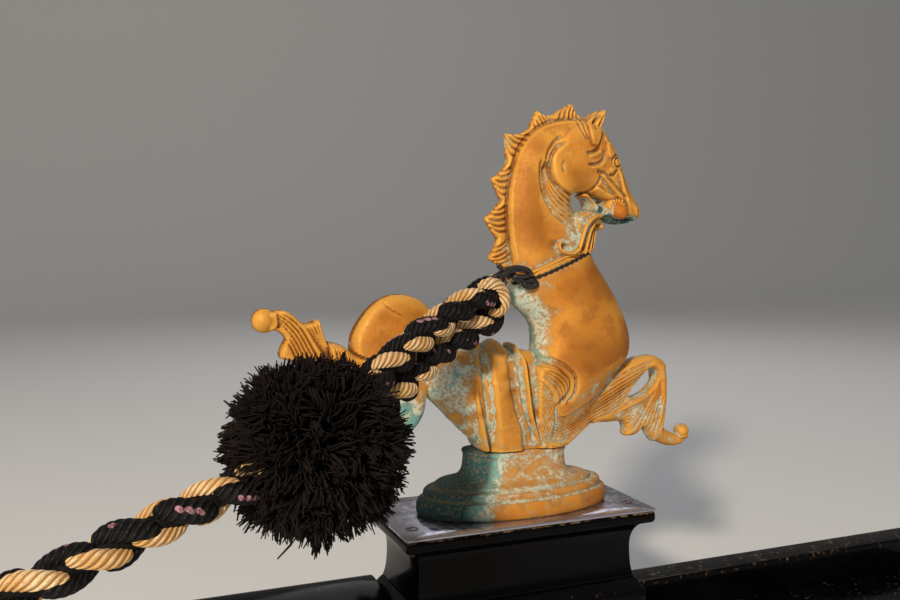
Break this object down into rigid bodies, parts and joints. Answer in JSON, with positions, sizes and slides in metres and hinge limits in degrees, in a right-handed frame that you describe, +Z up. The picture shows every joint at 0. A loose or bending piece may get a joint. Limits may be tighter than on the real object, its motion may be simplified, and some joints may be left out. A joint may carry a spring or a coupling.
{
  "type": "brass seahorse gunwale ornament of a rowing boat, with its block, rail section and cord",
  "caption": "Brass seahorse on a lacquered block and rail section, with a braided cord and pom-pom tied to its neck. The horse lifts out on its tang.",
  "frame": {"origin": "middle of the rail board's underside, below the block", "axes": "X runs forward along the rail, the way the horse faces; Y is outboard, away from the rope; Z is up"},
  "size_m": [0.84, 0.2426, 0.4],
  "materials": {
    "lacquer": "black gloss lacquer on wood, chipped at the edges",
    "plate": "worn brushed steel, unmarked",
    "brass": "cast brass, polished on the high places and green-white in the hollows",
    "black_cord": "thin twisted black cord",
    "rope": "braid of gold and black laid strands",
    "wool": "cut black wool pile"
  },
  "bodies": {
    "rail": {"rail_board": "lacquer", "rail_aft": "lacquer", "rail_fore": "lacquer", "block_foot": "lacquer", "block_waist": "lacquer", "block_cap": "lacquer", "top_plate": "plate"},
    "horse": {"brass_foot": "brass", "tang": "brass", "torso": "brass", "neck": "brass", "head": "brass", "chin_scroll": "brass", "mane_crest": "brass", "ear_left": "brass", "ear_right": "brass", "bit_ball_left": "brass", "bit_ball_right": "brass", "forelegs": "brass", "tail_coil": "brass", "tail_fluke": "brass", "neck_lashing": "black_cord", "lashing_knot": "black_cord", "rope": "rope", "rope_bight": "rope", "rope_eye": "rope", "pompom": "wool"}
  },
  "joints": [
    {"name": "horse_lift", "type": "slide", "parent": "rail", "child": "horse", "axis": [0, 0, 1], "range_m": [0, 0.075]}
  ]
}
